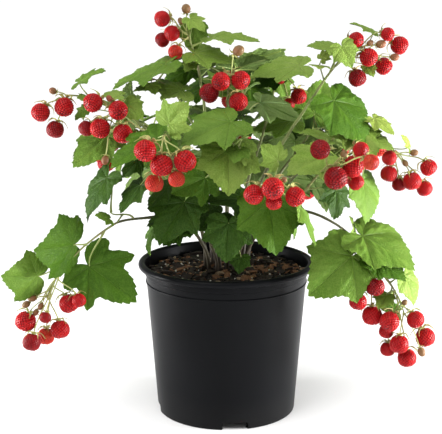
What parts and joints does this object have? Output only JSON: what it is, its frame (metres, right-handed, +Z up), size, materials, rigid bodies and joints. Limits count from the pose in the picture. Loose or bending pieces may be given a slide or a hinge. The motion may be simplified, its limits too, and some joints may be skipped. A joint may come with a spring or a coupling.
{
  "type": "potted thimbleberry",
  "caption": "Thimbleberry bush in fruit in a round nursery pot: arching canes, lobed leaves and clusters of red berries over dark bark mix.",
  "frame": {"origin": "middle of the flat underside of the pot, on the surface that it stands on", "axes": "+Z up, +X to the right as seen in the picture, +Y away from the picture's camera"},
  "size_m": [0.3924, 0.332, 0.3876],
  "materials": {
    "pot": "satin black moulded plastic",
    "soil": "dark potting mix with bark chips",
    "wood": "green-brown cane bark",
    "foliage": "soft green leaves with red berries"
  },
  "bodies": {
    "root": {"bough_back": "wood", "bough_back_left": "wood", "bough_back_right": "wood", "bough_centre_front": "wood", "bough_far_right": "wood", "bough_low_left": "wood", "bough_low_right": "wood", "bough_middle": "wood", "bough_shoulder_left": "wood", "bough_side_left": "wood", "bough_side_right": "wood", "cane_back": "wood", "cane_back_centre": "wood", "cane_back_left": "wood", "cane_back_right": "wood", "cane_centre": "wood", "cane_front": "wood", "cane_front_left": "wood", "cane_front_right": "wood", "cane_left": "wood", "cane_low_front": "wood", "cane_low_front_left": "wood", "cane_low_left": "wood", "cane_low_right": "wood", "cane_right": "wood", "cane_top_left": "wood", "cane_top_right": "wood", "pot": "pot", "soil": "soil", "spray_back": "foliage", "spray_back_centre": "foliage", "spray_back_left_lower": "foliage", "spray_back_left_upper": "foliage", "spray_back_right_lower": "foliage", "spray_back_right_upper": "foliage", "spray_back_top": "foliage", "spray_centre": "foliage", "spray_far_left": "foliage", "spray_far_right": "foliage", "spray_front": "foliage", "spray_front_left": "foliage", "spray_front_right": "foliage", "spray_left": "foliage", "spray_low_front": "foliage", "spray_low_front_left": "foliage", "spray_low_left_lower": "foliage", "spray_low_left_upper": "foliage", "spray_low_right_lower": "foliage", "spray_low_right_upper": "foliage", "spray_middle": "foliage", "spray_right": "foliage", "spray_shoulder_left": "foliage", "spray_side_left": "foliage", "spray_side_right": "foliage", "spray_top_centre": "foliage", "spray_top_left": "foliage", "spray_top_right": "foliage"}
  },
  "joints": []
}
